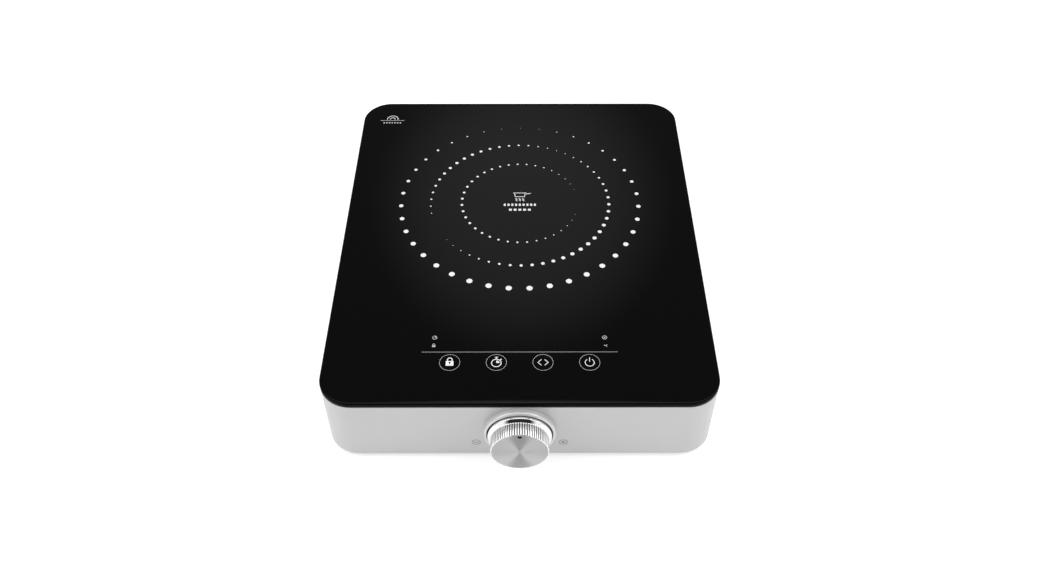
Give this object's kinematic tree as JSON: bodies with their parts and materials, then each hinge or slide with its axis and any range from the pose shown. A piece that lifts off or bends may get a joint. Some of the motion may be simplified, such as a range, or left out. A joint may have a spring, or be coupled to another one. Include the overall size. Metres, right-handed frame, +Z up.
{
  "type": "portable induction hob",
  "caption": "Low countertop cooking hob: black glass-ceramic panel with dotted zone rings and touch keys on a silver shell, with a round control knob at the front.",
  "frame": {"origin": "on the table, under the middle of the whole outline, knob included", "axes": "+Z up, +Y from the knob towards the rear wall, +X to the right as seen by the user at the knob"},
  "size_m": [0.29, 0.3698, 0.067],
  "materials": {
    "glass_black": "polished",
    "print_white": "satin",
    "print_grey": "satin",
    "gasket_silicone": "matte",
    "shell_silver": "satin",
    "tray_black": "matte",
    "foot_silicone": "matte",
    "screw_steel": "satin",
    "trim_black": "matte",
    "bezel_satin": "satin",
    "knob_chrome": "polished",
    "knob_core": "matte",
    "knob_spun": "satin",
    "marker_black": "gloss",
    "encoder_case": "matte",
    "encoder_metal": "satin",
    "board_green": "gloss",
    "wire_jacket": "satin",
    "bracket_white": "matte",
    "spring_steel": "satin",
    "display_black": "gloss",
    "lamp_lens": "gloss",
    "ribbon_grey": "satin",
    "socket_white": "matte",
    "litz_copper": "satin",
    "former_plastic": "matte",
    "ferrite": "matte",
    "mica": "satin",
    "fibre_wool": "matte",
    "sensor_silicone": "matte",
    "sensor_glass": "gloss",
    "terminal_brass": "satin",
    "fan_plastic": "satin",
    "axle_steel": "polished",
    "magnet": "matte",
    "bearing_bronze": "satin",
    "stator_winding": "satin",
    "sink_aluminium": "satin",
    "package_epoxy": "matte",
    "film_yellow": "gloss",
    "film_blue": "gloss",
    "choke_winding": "satin",
    "transformer_tape": "satin",
    "fuse_glass": "polished"
  },
  "bodies": {
    "hob": {"glass_panel": "glass_black", "glass_gasket": "gasket_silicone", "housing": "shell_silver", "base_tray": "tray_black", "feet": "foot_silicone", "base_screws": "screw_steel", "encoder_screws": "screw_steel", "control_screws": "screw_steel", "coil_screws": "screw_steel", "fan_screws": "screw_steel", "board_screws": "screw_steel", "rear_grille": "trim_black", "cord_gland": "trim_black", "bezel_liner": "trim_black", "knob_bezel": "bezel_satin", "encoder_body": "encoder_case", "encoder_bushing": "encoder_metal", "encoder_nut": "encoder_metal", "encoder_board": "board_green", "control_board": "board_green", "power_board": "board_green", "encoder_lead": "wire_jacket", "fan_lead": "wire_jacket", "control_bracket": "bracket_white", "light_shields": "bracket_white", "touch_springs": "spring_steel", "display_module": "display_black", "indicator_leds": "lamp_lens", "ribbon_cable": "ribbon_grey", "ribbon_sockets": "socket_white", "induction_coil": "litz_copper", "coil_leads": "litz_copper", "coil_former": "former_plastic", "ferrite_bars": "ferrite", "mica_sheet": "mica", "insulation_pad": "fibre_wool", "sensor_holder": "sensor_silicone", "temperature_sensor": "sensor_glass", "coil_terminals": "terminal_brass", "mains_terminals": "terminal_brass", "fan_frame": "fan_plastic", "air_guide": "fan_plastic", "fan_bearing": "bearing_bronze", "fan_stator": "stator_winding", "heatsink": "sink_aluminium", "igbt": "package_epoxy", "bridge_rectifier": "package_epoxy", "filter_capacitors": "film_yellow", "resonance_capacitor": "film_blue", "line_choke": "choke_winding", "power_transformer": "transformer_tape", "fuse": "fuse_glass"},
    "knob": {"knob_shell": "knob_chrome", "knob_hub": "knob_core", "knob_face": "knob_spun", "knob_marker": "marker_black", "encoder_shaft": "encoder_metal"},
    "fan": {"fan_rotor": "fan_plastic", "fan_axle": "axle_steel", "fan_magnet": "magnet"}
  },
  "joints": [
    {"name": "knob_turn", "type": "hinge", "parent": "hob", "child": "knob", "pos_m": [0, -0.166, 0.0345], "axis": [0, -1, 0], "continuous": true},
    {"name": "fan_spin", "type": "hinge", "parent": "hob", "child": "fan", "pos_m": [-0.076, 0.0714, 0.02], "axis": [0, 0, 1], "continuous": true}
  ]
}
